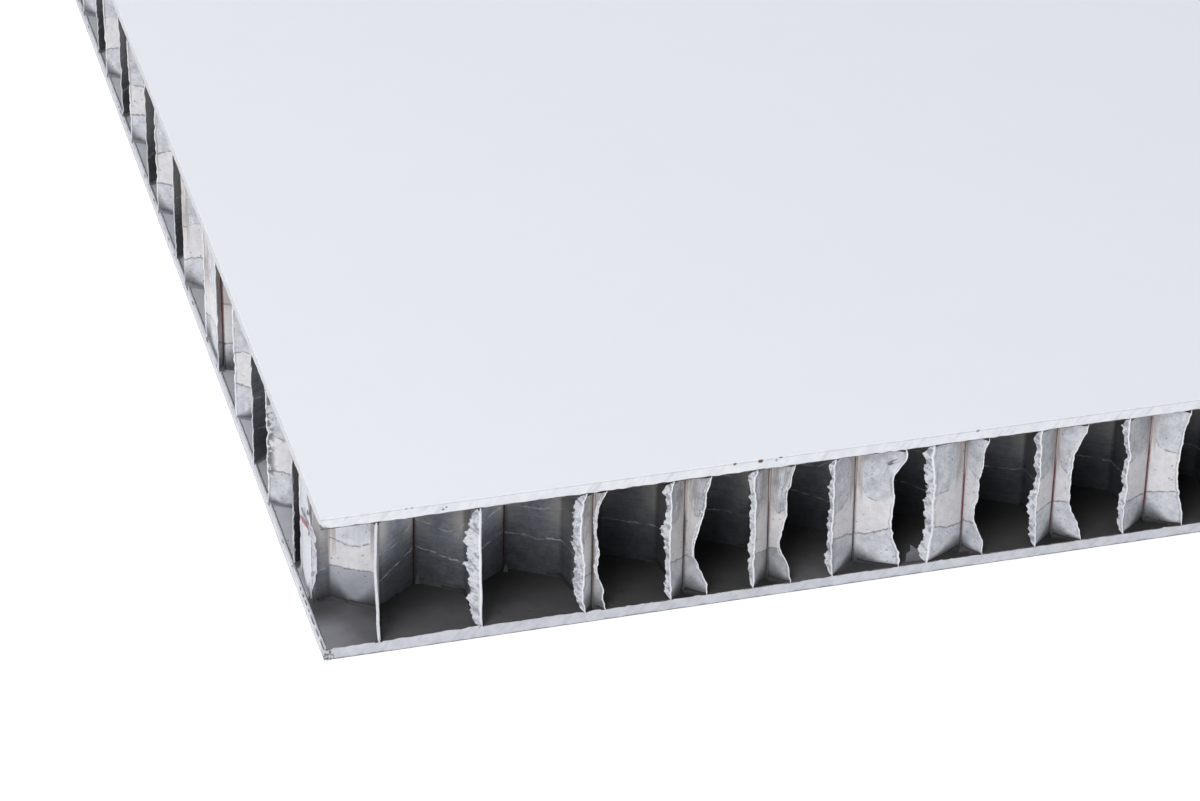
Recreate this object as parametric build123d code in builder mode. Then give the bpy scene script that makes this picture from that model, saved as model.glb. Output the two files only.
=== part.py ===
from build123d import *
import math
import os

# Aluminium honeycomb sandwich panel: a hand sample sawn out of a larger board.
# Two face sheets are glued over a core of thin foil ribbons. Each ribbon zigzags
# between two neighbouring node lines, and is bonded at its nodes to the ribbons
# on either side, so that the opened-out stack of ribbons forms hexagonal cells.
# The saw passes straight through the cells on all four sides.
#
# Frame: X runs across the ribbons, Y along them, Z up through the thickness.
# The origin is the middle of the underside.

# Panel, in millimetres
panel_width = 150.0
panel_length = 150.0
panel_thickness = 15.0
top_face_thickness = 1.0
bottom_face_thickness = 1.0
adhesive_film_thickness = 0.12

# Foil ribbons
foil_thickness = 0.08
node_bond_thickness = 0.03
node_length = 5.5
free_wall_run = 2.8
column_pitch = 4.55

# Where the core lies under the saw: places are taken from the near left corner, and the
# last column lies just past the right cut
first_column = 1.3
last_column_past_cut = 1.45
first_node = -0.1
row_slope = 0.0235
ribbon_lean = 0.0885
lean_ends_at = 70.0

# How far the saw and handling moved the nodes of the front row, as (right, back),
# on every second column from the first
front_row_shifts = [
    (-0.75, 0.0),
    (-0.65, -0.2),
    (0.9, 0.15),
    (0.7, 0.4),
    (-0.5, 0.2),
    (-0.45, 0.9),
    (-0.85, 0.3),
    (0.15, -0.1),
    (0.4, 0.1),
]

# Worked out from the sizes above
half_period = node_length + free_wall_run
columns_width = panel_width + last_column_past_cut - first_column
column_count = round(columns_width / column_pitch)
fitted_pitch = columns_width / column_count
core_bottom = bottom_face_thickness + adhesive_film_thickness
core_top = panel_thickness - top_face_thickness - adhesive_film_thickness
core_height = core_top - core_bottom
near_left_corner = (-panel_width / 2, -panel_length / 2)
core_plane = Plane(origin=(*near_left_corner, core_bottom))
farthest_lean = ribbon_lean * min(lean_ends_at, panel_length)
last_half_row = math.ceil(panel_length / half_period)
first_ribbon = math.floor(-first_column / fitted_pitch)
first_whole_ribbon = math.ceil((farthest_lean - first_column) / fitted_pitch)
last_whole_ribbon = math.floor((panel_width - first_column) / fitted_pitch) - 1
last_ribbon = math.floor((panel_width + farthest_lean - first_column) / fitted_pitch)

os.makedirs("parts", exist_ok=True)


def column_place(column, y):
    """The X of a node line at a distance y behind the front cut."""
    return first_column + fitted_pitch * column - ribbon_lean * min(y, lean_ends_at)


def node_ends(column, half_row):
    """Both ends of one bonded node, in plan, from the near left corner."""
    start_y = first_node + half_period * half_row + row_slope * fitted_pitch * column
    end_y = start_y + node_length
    start = Vector(column_place(column, start_y), start_y)
    end = Vector(column_place(column, end_y), end_y)
    shift_number = (column - 1) // 2
    if half_row == 0 and 0 <= shift_number < len(front_row_shifts):
        start += Vector(*front_row_shifts[shift_number])
    return start, end


def nodes_of(column):
    """Every node of one column. Neighbouring columns have theirs half a period apart."""
    rows = range(-2, last_half_row + 2)
    return [node_ends(column, row) for row in rows if (column + row) % 2]


def ribbon_path(ribbon):
    """A ribbon's middle line, beside the nodes of its left and right columns in turn."""
    beside = (node_bond_thickness + foil_thickness) / 2
    points = []
    for column, side in ((ribbon, beside), (ribbon + 1, -beside)):
        for start, end in nodes_of(column):
            along = (end - start).normalized()
            across = Vector(along.Y, -along.X) * side
            points += [start + across, end + across]
    return sorted(points, key=lambda point: point.Y)


def ribbon_name(number):
    """Ribbons that the left or right cut runs through lengthwise are counted apart."""
    if number < first_whole_ribbon:
        return f"left_cut_ribbon_{number - first_ribbon + 1}"
    if number > last_whole_ribbon:
        return f"right_cut_ribbon_{number - last_whole_ribbon}"
    return f"foil_ribbon_{number - first_whole_ribbon + 1:02d}"


def panel_outline():
    """Keeps what the four saw cuts leave of the sketch it is called in."""
    with Locations((panel_width / 2, panel_length / 2)):
        Rectangle(panel_width, panel_length, mode=Mode.INTERSECT)


# Bottom face sheet
with BuildPart() as bottom_face_sheet:
    with BuildSketch():
        Rectangle(panel_width, panel_length)
    extrude(amount=bottom_face_thickness)

# Adhesive film that holds the core down
with BuildPart() as bottom_adhesive_film:
    with BuildSketch(Plane.XY.offset(bottom_face_thickness)):
        Rectangle(panel_width, panel_length)
    extrude(amount=adhesive_film_thickness)

# Adhesive film over the core
with BuildPart() as top_adhesive_film:
    with BuildSketch(Plane.XY.offset(core_top)):
        Rectangle(panel_width, panel_length)
    extrude(amount=adhesive_film_thickness)

# Top face sheet, the coated one
with BuildPart() as top_face_sheet:
    with BuildSketch(Plane.XY.offset(panel_thickness - top_face_thickness)):
        Rectangle(panel_width, panel_length)
    extrude(amount=top_face_thickness)

# Foil ribbons of the core, from left to right
foil_ribbons = []
for number in range(first_ribbon, last_ribbon + 1):
    with BuildPart() as foil_ribbon:
        with BuildSketch(core_plane) as foil_section:
            with BuildLine():
                Polyline(*ribbon_path(number))
            trace(line_width=foil_thickness)
            panel_outline()
        if foil_section.sketch.faces():
            extrude(amount=core_height)
    if foil_ribbon.part.solids():
        foil_ribbon.part.label = ribbon_name(number)
        foil_ribbons.append(foil_ribbon.part)

# Node bonds: the stripes of adhesive between ribbons, one for every node
with BuildPart() as node_bonds:
    with BuildSketch(core_plane):
        with BuildLine():
            for column in range(first_ribbon, last_ribbon + 1):
                for node_start, node_end in nodes_of(column):
                    Line(node_start, node_end)
        trace(line_width=node_bond_thickness)
        panel_outline()
    extrude(amount=core_height)

bottom_face_sheet.part.label = "bottom_face_sheet"
bottom_adhesive_film.part.label = "bottom_adhesive_film"
top_adhesive_film.part.label = "top_adhesive_film"
top_face_sheet.part.label = "top_face_sheet"
node_bonds.part.label = "node_bonds"
export_step(bottom_face_sheet.part, "parts/bottom_face_sheet.step")
export_step(bottom_adhesive_film.part, "parts/bottom_adhesive_film.step")
export_step(top_adhesive_film.part, "parts/top_adhesive_film.step")
export_step(top_face_sheet.part, "parts/top_face_sheet.step")
export_step(node_bonds.part, "parts/node_bonds.step")
for ribbon_part in foil_ribbons:
    export_step(ribbon_part, f"parts/{ribbon_part.label}.step")
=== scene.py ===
"""The looks of the honeycomb panel sample: torn foil, cured adhesive and sawn face sheets.

Lengths are in millimetres from the near left corner of the panel's underside, as in the CAD
source, until a piece is made: X runs across the ribbons, Y back along them and Z up.
"""

import dataclasses
import functools
import math

import bpy
import numpy as np
from mathutils import Matrix, Vector


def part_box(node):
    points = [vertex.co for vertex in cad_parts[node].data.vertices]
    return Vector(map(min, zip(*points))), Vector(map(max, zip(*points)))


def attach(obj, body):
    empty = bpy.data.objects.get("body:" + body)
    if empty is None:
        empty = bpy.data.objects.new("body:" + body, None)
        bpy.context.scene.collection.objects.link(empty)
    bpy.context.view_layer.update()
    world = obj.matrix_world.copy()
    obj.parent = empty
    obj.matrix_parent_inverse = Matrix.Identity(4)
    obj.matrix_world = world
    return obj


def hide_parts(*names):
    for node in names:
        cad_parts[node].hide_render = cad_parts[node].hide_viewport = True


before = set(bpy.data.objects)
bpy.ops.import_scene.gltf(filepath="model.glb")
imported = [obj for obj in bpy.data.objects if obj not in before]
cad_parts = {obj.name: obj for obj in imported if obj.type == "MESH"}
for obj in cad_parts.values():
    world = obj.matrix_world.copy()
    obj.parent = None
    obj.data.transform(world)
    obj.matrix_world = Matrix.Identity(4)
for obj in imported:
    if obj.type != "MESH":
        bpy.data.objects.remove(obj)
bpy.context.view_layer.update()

METRES_PER_MM = 0.001
ROOT = "root"

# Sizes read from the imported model
sheet_low, sheet_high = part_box("top_face_sheet")
core_low, core_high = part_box("foil_ribbon_10")
PANEL_WIDTH = (sheet_high.x - sheet_low.x) / METRES_PER_MM
PANEL_LENGTH = (sheet_high.y - sheet_low.y) / METRES_PER_MM
PANEL_TOP = sheet_high.z / METRES_PER_MM
TOP_SHEET_UNDERSIDE = sheet_low.z / METRES_PER_MM
LOWER_SHEET_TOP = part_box("bottom_face_sheet")[1].z / METRES_PER_MM
CORE_BOTTOM = core_low.z / METRES_PER_MM
CORE_TOP = core_high.z / METRES_PER_MM
PANEL_CORNER = (PANEL_WIDTH, PANEL_LENGTH, PANEL_TOP)
# The row frame's origin: the middle of the underside
ORIGIN = np.array([PANEL_WIDTH / 2, PANEL_LENGTH / 2, 0.0])

# The rule of the node lines, as the CAD source has it
FOIL_THICKNESS = 0.08
NODE_BOND_THICKNESS = 0.03
NODE_LENGTH = 5.5
FREE_WALL_RUN = 2.8
COLUMN_PITCH = 4.55
FIRST_COLUMN = 1.3
FIRST_NODE = -0.1
ROW_SLOPE = 0.0235
RIBBON_LEAN = 0.0885
LEAN_ENDS_AT = 70.0
FRONT_ROW_SHIFTS = [
    (-0.75, 0.0), (-0.65, -0.2), (0.9, 0.15), (0.7, 0.4), (-0.5, 0.2), (-0.45, 0.9), (-0.85, 0.3),
    (0.15, -0.1), (0.4, 0.1),
]
HALF_PERIOD = NODE_LENGTH + FREE_WALL_RUN
LAST_HALF_ROW = math.ceil(PANEL_LENGTH / HALF_PERIOD)
FARTHEST_LEAN = RIBBON_LEAN * LEAN_ENDS_AT
FIRST_RIBBON = math.floor(-FIRST_COLUMN / COLUMN_PITCH)
FIRST_WHOLE_RIBBON = math.ceil((FARTHEST_LEAN - FIRST_COLUMN) / COLUMN_PITCH)
LAST_WHOLE_RIBBON = math.floor((PANEL_WIDTH - FIRST_COLUMN) / COLUMN_PITCH) - 1
LAST_RIBBON = math.floor((PANEL_WIDTH + FARTHEST_LEAN - FIRST_COLUMN) / COLUMN_PITCH)
RIBBONS = range(FIRST_RIBBON, LAST_RIBBON + 1)
# From a node line to the middle of the foil beside it
BESIDE_NODE = (NODE_BOND_THICKNESS + FOIL_THICKNESS) / 2

# Front cut: where the photo has each foil edge, as X at heights one millimetre apart from the
# top of the core down to its foot. Keys are node columns; the first two have both foils together.
MEASURED_HEIGHTS = 13
EDGE_HEIGHTS = np.linspace(CORE_TOP, CORE_BOTTOM, MEASURED_HEIGHTS)
LEFT_FOIL_EDGES = {
    1: [4.95, 4.9, 4.85, 4.85, 4.8, 4.8, 4.85, 4.9, 4.95, 5.0, 5.0, 5.05, 5.1],
    3: [14.25, 14.25, 14.25, 14.25, 14.25, 14.3, 14.3, 14.3, 14.35, 14.4, 14.35, 14.35, 14.45],
    5: [23.9, 23.6, 23.45, 23.4, 23.4, 23.45, 23.65, 23.85, 23.9, 23.75, 23.7, 23.8, 24.05],
    7: [32.0, 31.7, 31.75, 31.8, 31.8, 31.8, 31.8, 31.85, 31.85, 31.9, 31.95, 32.05, 32.15],
    9: [39.85, 39.45, 39.5, 39.7, 39.75, 39.8, 39.8, 39.85, 39.85, 39.8, 39.85, 39.9, 39.95],
    11: [47.2, 47.05, 47.1, 47.1, 47.15, 47.2, 47.2, 47.15, 47.25, 47.3, 47.35, 47.45, 47.55],
    13: [56.6, 56.4, 56.6, 56.75, 56.9, 57.0, 56.85, 56.95, 57.0, 56.95, 56.85, 56.75, 56.75],
    15: [67.1, 66.95, 67.05, 67.15, 67.2, 67.25, 67.2, 67.15, 67.2, 67.3, 67.35, 67.4, 67.5],
    17: [75.7, 75.65, 75.75, 75.95, 76.1, 76.05, 76.0, 76.15, 76.15, 76.1, 76.1, 76.15, 76.3],
}
RIGHT_FOIL_EDGES = {
    5: [25.95, 25.3, 24.95, 24.9, 24.9, 25.0, 25.25, 25.15, 24.95, 25.4, 25.85, 25.65, 26.1],
    7: [35.5, 35.3, 35.0, 35.05, 34.85, 34.55, 34.2, 34.1, 34.15, 34.6, 35.1, 35.55, 35.55],
    9: [43.3, 43.15, 43.0, 42.6, 42.8, 42.85, 42.5, 42.35, 42.2, 42.6, 43.15, 43.4, 43.6],
    11: [53.95, 54.2, 53.2, 52.8, 53.05, 53.15, 53.0, 53.0, 53.1, 53.25, 53.75, 54.05, 54.1],
    13: [62.0, 61.65, 61.55, 61.5, 61.25, 61.3, 61.3, 61.05, 61.1, 61.35, 62.0, 62.2, 62.3],
    15: [71.75, 71.45, 70.95, 70.45, 70.45, 70.45, 70.4, 70.5, 70.5, 70.95, 71.5, 71.95, 72.1],
    17: [81.95, 81.75, 81.45, 81.4, 81.25, 81.2, 81.1, 81.3, 81.5, 81.7, 82.0, 82.25, 82.3],
}
# Heights around a place over which its edge is averaged
SMOOTHING_STEPS = (-0.45, -0.22, 0.0, 0.22, 0.45)
# How far the saw smeared each left foil's edge to the left, at the same heights
BURR_WIDTHS = {
    1: [0.1, 0.1, 0.1, 0.1, 0.1, 0.1, 0.1, 0.1, 0.1, 0.1, 0.12, 0.12, 0.1],
    3: [0.3, 1.1, 1.4, 1.6, 1.7, 1.65, 1.6, 1.55, 1.4, 1.5, 1.45, 1.1, 0.4],
    5: [0.25, 1.1, 0.9, 0.85, 0.9, 1.05, 1.05, 1.15, 1.2, 1.3, 0.95, 0.7, 0.35],
    7: [0.3, 0.9, 0.6, 0.6, 0.55, 1.0, 0.7, 0.6, 0.45, 0.6, 0.6, 0.65, 0.25],
    9: [0.6, 0.75, 0.4, 0.7, 0.55, 0.65, 0.5, 0.5, 0.7, 0.5, 0.55, 0.6, 0.15],
    11: [0.3, 0.7, 0.2, 0.65, 0.5, 0.3, 0.6, 0.45, 0.5, 0.4, 0.7, 0.6, 0.15],
    13: [0.5, 1.1, 0.9, 1.15, 1.3, 0.75, 1.15, 1.1, 1.15, 0.9, 0.8, 1.25, 0.6],
    15: [0.5, 1.0, 0.6, 0.75, 0.6, 0.45, 0.55, 1.1, 1.2, 0.65, 0.75, 0.8, 0.25],
    17: [0.4, 0.85, 0.6, 0.5, 0.45, 0.45, 0.7, 0.4, 0.65, 0.6, 0.65, 0.6, 0.25],
}
# How handling moved single nodes of the real core: (column, half row), start by (X, Y), end by (X, Y)
NODE_MOVES = {
    (0, 1): ((0.08, -0.75), (0.66, -1.45)),
    (1, 0): ((0.0, 0.0), (0.84, -0.4)),
    (2, 1): ((0.6, 0.0), (0.0, 0.0)),
    (1, 6): ((-0.74, -0.7), (-0.5, -0.3)),
}
# Folds between nodes: ribbon, the fold's (X, Y), and the Y of the node that it follows
EXTRA_FOLDS = [(0, (2.4, 7.85), 5.2), (0, (0.05, 13.25), 12.7)]
# Foil that the saw tore away at the left cut: ribbon, from Y, to Y
TORN_AWAY = [(-1, 5.0, 7.48), (-1, 12.27, 13.24), (0, 12.27, 13.24)]
# The flap that hangs loose there: how far it reaches past its node, from the top of the core down
LOOSE_FLAP = np.array([-1.9, -1.6, -1.0, -0.4, 0.1, 0.4, 0.6, 0.65, 0.6, 0.5, 0.3, 0.0, -0.5])
# Lean of the front row's node ends, as X at the top and at the foot of the core
FRONT_NODE_LEANS = {
    5: (-0.16, -0.08), 7: (-0.39, -0.23), 9: (-0.39, -0.08), 11: (-0.98, -0.59), 13: (0.85, 1.18),
    15: (-0.33, -0.05), 17: (-0.1, 0.2),
}

# Where the adhesive's lower and upper edges run on the foil near the front cut. For each ribbon the
# places are (X, height of the lower edge, height of the upper edge).
ADHESIVE_EDGES = {
    -1: [(0.0, 30.0, 0.0)],
    0: [(0.6, 4.4, 8.6), (2.4, 4.7, 7.7), (3.9, 4.83, 7.3), (4.7, 4.8, 7.4), (5.8, 4.87, 7.95)],
    1: [(6.7, 4.17, 7.02), (7.6, 4.35, 6.72), (8.6, 4.6, 6.83), (9.3, 4.78, 7.3), (10.3, 5.0, 8.0)],
    2: [(10.75, 5.04, 8.05), (11.9, 4.8, 7.67), (12.9, 4.57, 7.39), (13.9, 4.4, 7.9), (14.25, 4.36, 8.5)],
    3: [(16.3, 4.9, 7.6), (17.3, 5.06, 7.9), (18.3, 5.28, 8.1)],
    4: [
        (18.8, 5.07, 8.14), (20.8, 5.15, 8.2), (21.5, 4.93, 8.3), (22.6, 5.16, 8.45), (24.0, 5.0, 8.6),
        (24.9, 4.94, 9.3),
    ],
    5: [(24.9, 4.94, 9.3), (25.3, 5.1, 9.1), (25.8, 5.4, 8.9)],
    6: [(32.1, 5.19, 9.3), (32.7, 5.05, 9.6), (33.4, 4.95, 10.4)],
    7: [(33.4, 4.95, 10.4), (34.2, 5.4, 9.6), (35.0, 6.04, 9.8)],
    8: [(39.9, 4.7, 8.55), (40.6, 4.6, 9.31), (41.3, 4.44, 9.8)],
    9: [(41.3, 4.44, 9.6), (42.1, 4.89, 8.51), (42.8, 5.0, 9.35)],
    10: [(47.4, 5.12, 7.85), (48.7, 4.7, 8.17), (49.9, 4.24, 9.2)],
    11: [(50.0, 4.24, 9.2), (51.3, 4.4, 8.2), (53.0, 5.59, 8.36)],
    12: [(57.0, 5.02, 8.36), (58.8, 4.13, 8.22), (60.4, 4.08, 10.3)],
    13: [(60.5, 4.08, 10.3), (61.0, 4.5, 9.8), (61.4, 4.95, 9.5)],
    14: [(67.4, 4.95, 8.6), (68.4, 5.0, 8.7), (69.4, 5.11, 9.6)],
    15: [(69.4, 5.11, 9.6), (70.0, 5.3, 8.83), (70.5, 5.66, 8.58)],
    16: [(76.2, 4.73, 9.08), (77.6, 4.4, 9.31), (78.9, 4.25, 9.6)],
    17: [(78.9, 4.25, 9.9), (80.1, 4.6, 9.24), (81.3, 4.93, 9.21)],
}

# Torn scraps of foil: ribbon, how much painted light they get (1 for the pale lit colour, 0 for the painted
# shade deep in the cells), outline as (X, Y, Z)
FOIL_SCRAPS = [
    (7, 1.0, [
        (33.8, 0.95, 13.3), (34.1, 0.8, 13.3), (34.7, 0.5, 12.9), (34.95, 0.35, 12.65), (34.5, 0.5, 12.7),
        (34.0, 0.8, 13.05),
    ]),
    (11, 0.0, [
        (52.3, 0.5, 12.35), (52.9, 0.4, 12.68), (53.45, 0.25, 12.9), (53.65, 0.2, 12.72), (53.1, 0.35, 12.4),
        (52.5, 0.45, 12.15),
    ]),
    (11, 1.0, [
        (52.4, 0.38, 12.15), (53.0, 0.22, 12.45), (53.65, 0.08, 12.75), (53.85, 0.02, 12.5),
        (53.35, 0.04, 11.9), (52.85, 0.12, 11.25), (52.6, 0.3, 11.6),
    ]),
    (12, 0.07, [
        (54.8, 0.3, 1.25), (54.8, 0.25, 2.3), (55.15, 0.2, 2.6), (55.05, 0.15, 3.3), (55.55, 0.2, 2.85),
        (55.95, 0.25, 2.4), (56.25, 0.2, 2.5), (56.65, 0.2, 1.8), (56.9, 0.3, 1.2),
    ]),
    (-1, 0.0, [
        (0.44, 10.6, 9.35), (0.44, 10.2, 9.7), (0.44, 9.5, 9.3), (0.44, 9.0, 9.35), (0.44, 9.7, 9.05),
    ]),
    (-1, 0.0, [(0.44, 8.2, 10.2), (0.44, 7.9, 10.9), (0.44, 7.6, 10.5)]),
    (-1, 0.0, [(0.44, 7.6, 8.4), (0.44, 7.45, 9.1), (0.44, 7.3, 8.5)]),
]
# Slivers of fresh red adhesive that the saw left at the left cut: outlines as (X, Y, Z)
RED_SLIVERS = [[
    (0.36, 10.6, 8.6), (0.36, 9.7, 9.0), (0.36, 8.1, 9.4), (0.36, 6.9, 9.4), (0.36, 7.4, 9.2),
    (0.36, 9.7, 8.5),
]]
# Hardened runs of adhesive at the foot of the first inner nodes
FOOT_RUNS = [
    [(10.25, 8.12, 1.14), (10.75, 7.98, 1.14), (10.5, 8.1, 2.3)],
    [(18.5, 8.0, 1.14), (19.0, 7.88, 1.14), (18.8, 8.0, 2.1)],
]
# Rust, grit and nicks on the top sheet's front edge: (X, Z), radius, depth of colour
EDGE_SPECKS = [
    ((10.9, 14.32), 0.14, 0.8),
    ((11.2, 14.5), 0.12, 0.8),
    ((7.6, 14.97), 0.16, 0.6),
    ((8.1, 14.97), 0.16, 0.6),
    ((37.6, 14.9), 0.2, 0.9),
    ((40.0, 14.85), 0.28, 1.0),
    ((41.9, 14.97), 0.2, 0.9),
    ((41.5, 14.7), 0.16, 0.55),
    ((60.7, 14.88), 0.2, 0.7),
]

# How far each bend of the foil is rounded, and in how many steps
BEND_REACH = 0.25
BEND_STEPS = 4
# The mesh is fine near a cut, plainer within sight of it and coarse beyond
NEAR_CUT = 2.6
WITHIN_SIGHT = 10.0
FILLET_SIGHT = 8.0
ROWS_IN_PHOTO = 64
ROWS_OUT_OF_PHOTO = 24
ROWS_OUT_OF_SIGHT = 4
# Ribbons 0 to 17 end in the part of the front cut that the photo shows
RIBBONS_IN_PHOTO = range(18)
# How far past a run's ends q goes on its smeared flaps
FLAP_SPAN = 1.0
SHORTEST_RUN = 0.3
# Nodes that start nearer the front cut than this are its front row
FRONT_ROW_DEPTH = 3
BOND_HEIGHTS = np.linspace(CORE_BOTTOM, CORE_TOP, 9)
BOND_STATIONS = 5
FILLET_STEP = 0.45
SHEET_STEP = 0.25
CRUMBS_AT_CORNER = 22


def eased(share):
    return share * share * (3 - 2 * share)


def falling(value, start, end):
    """1 below start, 0 past end, and a smooth slope between."""
    return eased(np.clip((end - value) / (end - start), 0, 1))


def hump(value, width):
    """1 where value is 0, fading to 0 on both sides of it."""
    return np.exp(-((value / width) ** 2))


@functools.cache
def knots_of(seed, *shape):
    return np.random.default_rng(seed).uniform(-1, 1, shape)


def wander(x, step, seed):
    """Smooth seeded noise from -1 to 1 along a line. It changes over a distance of step."""
    knots = knots_of(seed, 1024)
    at = np.asarray(x, float) / step
    first = np.floor(at).astype(int)
    part = eased(at - first)
    return knots[first % len(knots)] * (1 - part) + knots[(first + 1) % len(knots)] * part


def jagged(x, step, seed):
    """Seeded noise from 0 to 1 with straight flanks, as torn teeth have."""
    rng = np.random.default_rng(seed)
    places = np.cumsum(rng.uniform(0.4, 1.6, 400)) * step
    heights = rng.uniform(0, 1, 400)
    heights[::2] *= 0.45
    return np.interp(np.mod(np.asarray(x, float), places[-1]), places, heights)


def crumple(x, y, step, seed):
    """Smooth seeded noise from -1 to 1 over a surface."""
    knots = knots_of(seed, 64, 64)
    u, v = np.broadcast_arrays(np.asarray(x, float) / step, np.asarray(y, float) / step)
    i, j = np.floor(u).astype(int), np.floor(v).astype(int)
    a, b = eased(u - i), eased(v - j)
    size = len(knots)
    near, far = (
        knots[k % size, j % size] * (1 - b) + knots[k % size, (j + 1) % size] * b for k in (i, i + 1)
    )
    return near * (1 - a) + far * a


def column_place(column, y):
    return FIRST_COLUMN + COLUMN_PITCH * column - RIBBON_LEAN * min(y, LEAN_ENDS_AT)


def node_ends(column, half_row):
    start_y = FIRST_NODE + HALF_PERIOD * half_row + ROW_SLOPE * COLUMN_PITCH * column
    start, end = (Vector((column_place(column, y), y)) for y in (start_y, start_y + NODE_LENGTH))
    shift_number = (column - 1) // 2
    if half_row == 0 and 0 <= shift_number < len(FRONT_ROW_SHIFTS):
        start += Vector(FRONT_ROW_SHIFTS[shift_number])
    move_start, move_end = NODE_MOVES.get((column, half_row), ((0, 0), (0, 0)))
    return start + Vector(move_start), end + Vector(move_end)


def nodes_of(column):
    return [node_ends(column, row) for row in range(-2, LAST_HALF_ROW + 2) if (column + row) % 2]


def ribbon_corners(ribbon):
    """The ribbon's middle line, beside the nodes of both its columns."""
    points = []
    for column, side in ((ribbon, BESIDE_NODE), (ribbon + 1, -BESIDE_NODE)):
        for start, end in nodes_of(column):
            along = (end - start).normalized()
            across = Vector((along.y, -along.x)) * side
            points += [start + across, end + across]
    points.sort(key=lambda point: point.y)
    for folded, fold, after_y in EXTRA_FOLDS:
        if folded == ribbon:
            points.insert(sum(point.y <= after_y for point in points), Vector(fold))
    return points


def ribbon_name(number):
    if number < FIRST_WHOLE_RIBBON:
        return f"left_cut_ribbon_{number - FIRST_RIBBON + 1}"
    if number > LAST_WHOLE_RIBBON:
        return f"right_cut_ribbon_{number - LAST_WHOLE_RIBBON}"
    return f"foil_ribbon_{number - FIRST_WHOLE_RIBBON + 1:02d}"


def distance_along(points):
    """The distance of each point from the first, along the line through all of them."""
    return np.concatenate([[0], np.cumsum(np.hypot(*np.diff(points, axis=0).T))])


def rounded(corners):
    """The same line with every bend rounded, and the distance along it of each bend."""
    points = [np.array(corners[0])]
    bends = []
    for before, corner, after in zip(corners, corners[1:], corners[2:]):
        reach = min(BEND_REACH, (corner - before).length * 0.4, (after - corner).length * 0.4)
        start = corner + (before - corner).normalized() * reach
        end = corner + (after - corner).normalized() * reach
        for t in np.linspace(0, 1, BEND_STEPS + 1):
            points.append(np.array(start * (1 - t) ** 2 + corner * (2 * t * (1 - t)) + end * t * t))
        bends.append(len(points) - 1 - BEND_STEPS // 2)
    points = np.array(points + [np.array(corners[-1])])
    along = distance_along(points)
    return points, along, along[bends]


def at_height(z, values):
    """Values that were measured at EDGE_HEIGHTS, at any height."""
    return np.interp(-z, -EDGE_HEIGHTS, values)


def edge_x(edges, column, z):
    """The X of a foil's front edge at a height, with the measured places joined smoothly."""
    return np.mean([at_height(z + step, edges[column]) for step in SMOOTHING_STEPS], axis=0)


def inside_core(z, foot_span, top_span):
    """0 at the core's foot and top, and 1 once past the spans beside them."""
    return np.clip((z - CORE_BOTTOM) / foot_span, 0, 1) * np.clip((CORE_TOP - z) / top_span, 0, 1)


def front_lean(column, y, z):
    """How far a front node's near end leans over, fading away behind it."""
    top, foot = FRONT_NODE_LEANS.get(column, (0, 0))
    start, _ = node_ends(column, 0)
    return np.interp(z, (CORE_BOTTOM, CORE_TOP), (foot, top)) * hump(np.maximum(y - start.y, 0), 2.2)


@dataclasses.dataclass
class Cut:
    """One saw cut: the way into the panel, and the way in which it smeared the foil."""

    name: str
    inward: tuple
    smear: tuple


CUTS = [
    Cut("front", (0, 1), (-1, 0)),
    Cut("back", (0, -1), (1, 0)),
    Cut("left", (1, 0), (0, 1)),
    Cut("right", (-1, 0), (0, -1)),
]


def cut_at(point):
    """Which cut a run of foil ends at."""
    return CUTS[np.argmin([point[1], PANEL_LENGTH - point[1], point[0], PANEL_WIDTH - point[0]])]


@dataclasses.dataclass
class Tear:
    """How one end of a run of foil looks: its smeared flap and its torn edge."""

    cut: Cut
    seed: int
    # How far the flap reaches at EDGE_HEIGHTS, and which way, if not the cut's own
    widths: np.ndarray
    smear: tuple = None
    # How ragged the edge is, how deep the flap's teeth are, and how far back the edge lies
    rag: float = 0.0
    teeth: float = 0.5
    back: tuple = (0.0,) * MEASURED_HEIGHTS

    def width(self, z):
        teeth = 0.7 * jagged(z, 0.42, self.seed) + 0.4 * jagged(z, 0.15, self.seed + 1)
        held = np.clip(np.minimum(CORE_TOP - z, z - CORE_BOTTOM) / 0.3, 0.15, 1)
        return at_height(z, self.widths) * held * (1 - self.teeth + 1.15 * self.teeth * teeth)

    def set_back(self, z):
        torn = self.rag * jagged(z, 0.45, self.seed + 2) * (0.6 + 0.4 * wander(z, 1.7, self.seed + 3))
        return torn + at_height(z, self.back)

    def flap(self, reach, lift):
        smear = np.multiply.outer(reach, self.smear or self.cut.smear)
        return smear + np.multiply.outer(lift, self.cut.inward)


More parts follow.
